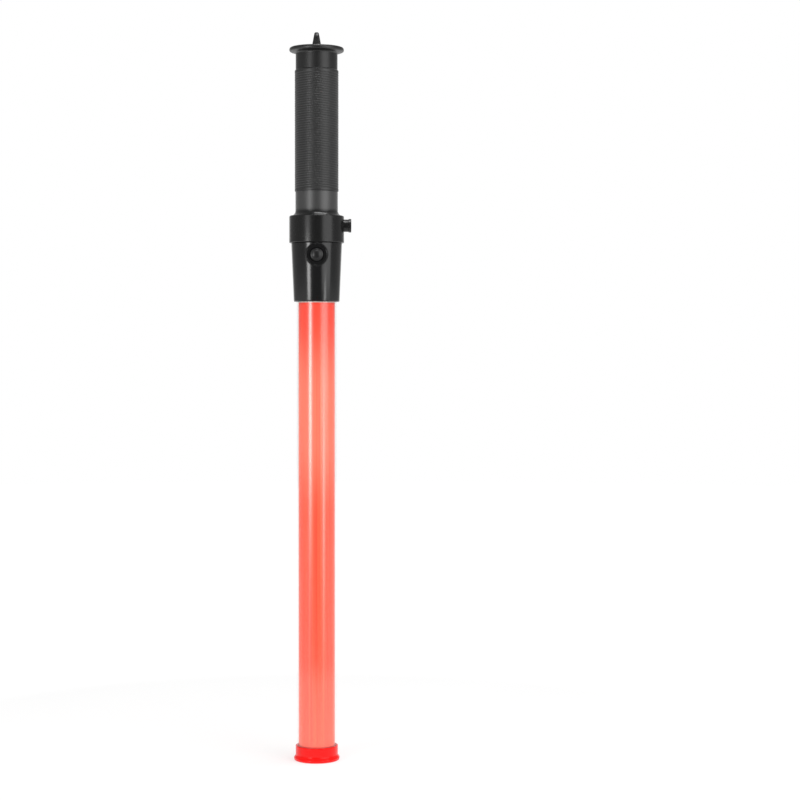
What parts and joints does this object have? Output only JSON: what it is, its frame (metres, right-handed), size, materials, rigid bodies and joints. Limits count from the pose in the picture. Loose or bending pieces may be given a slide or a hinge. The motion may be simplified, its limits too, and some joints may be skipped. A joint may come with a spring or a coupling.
{
  "type": "led safety flare",
  "caption": "Battery traffic wand with a ribbed handle, screw-on switch head, long red translucent light tube, tip cap, side magnet and lanyard eye.",
  "frame": {"origin": "centre of the tip cap's end face, on the wand's axis", "axes": "+Z along the wand from the tip to the lanyard eye; the push button faces -Y and the magnet stud faces +X"},
  "size_m": [0.0459, 0.0406, 0.54],
  "materials": {
    "red_cap": "translucent red moulding, lightly glossy",
    "mirror_foil": "metallised plastic disc",
    "clear_tube": "clear hard plastic tube, polished",
    "red_liner": "translucent red sleeve, fluted inside",
    "white_plastic": "plain white moulding",
    "black_gloss": "black hard plastic, glossy",
    "circuit_board": "green lacquered board",
    "steel": "zinc plated steel",
    "red_lamp": "red tinted clear resin",
    "chip_black": "black moulded resin",
    "button_rubber": "black soft rubber, satin",
    "brass": "plain brass",
    "red_lead": "red insulated wire",
    "black_lead": "black insulated wire",
    "seal_rubber": "black rubber ring",
    "black_satin": "black hard plastic, satin",
    "magnet_nickel": "dark nickel plated magnet",
    "grip_rubber": "black soft grip rubber, matte",
    "cell_can": "steel can with a plain sleeve"
  },
  "bodies": {
    "handle": {"handle_shell": "black_satin", "magnet": "magnet_nickel", "grip_sleeve": "grip_rubber", "tail_plug": "black_satin", "tail_plate": "brass", "tail_spring": "steel", "ground_strip": "brass", "cell_1": "cell_can", "cell_2": "cell_can"},
    "seal": {"seal_ring": "seal_rubber"},
    "head": {"tip_cap": "red_cap", "tip_reflector": "mirror_foil", "light_tube": "clear_tube", "diffuser_liner": "red_liner", "reflector_cup": "white_plastic", "head_shell": "black_gloss", "lamp_board": "circuit_board", "board_screw_1": "steel", "board_screw_2": "steel", "board_screw_3": "steel", "lamp_1": "red_lamp", "lamp_2": "red_lamp", "lamp_3": "red_lamp", "lamp_4": "red_lamp", "lamp_5": "red_lamp", "lamp_6": "red_lamp", "driver_chip": "chip_black", "resistor_1": "chip_black", "resistor_2": "chip_black", "resistor_3": "chip_black", "switch_board": "circuit_board", "switch_body": "chip_black", "terminal_disc": "white_plastic", "negative_ring": "brass", "disc_screw_1": "steel", "disc_screw_2": "steel", "positive_contact": "brass", "positive_lead": "red_lead", "negative_lead": "black_lead"},
    "button": {"push_button": "button_rubber", "switch_plunger": "white_plastic"}
  },
  "joints": [
    {"name": "head_slide", "type": "slide", "parent": "handle", "child": "seal", "axis": [0, 0, -1], "range_m": [0, 0.01]},
    {"name": "head_turn", "type": "hinge", "parent": "seal", "child": "head", "pos_m": [0, 0, 0.3926], "axis": [0, 0, -1], "range_deg": [0, 900]},
    {"name": "button_press", "type": "slide", "parent": "head", "child": "button", "axis": [0, 1, 0], "range_m": [0, 0.0012], "stiffness_N_per_m": 1500}
  ],
  "couplings": [
    {"joint": "head_turn", "follows": "head_slide", "rad_per_m": 1570.8}
  ]
}
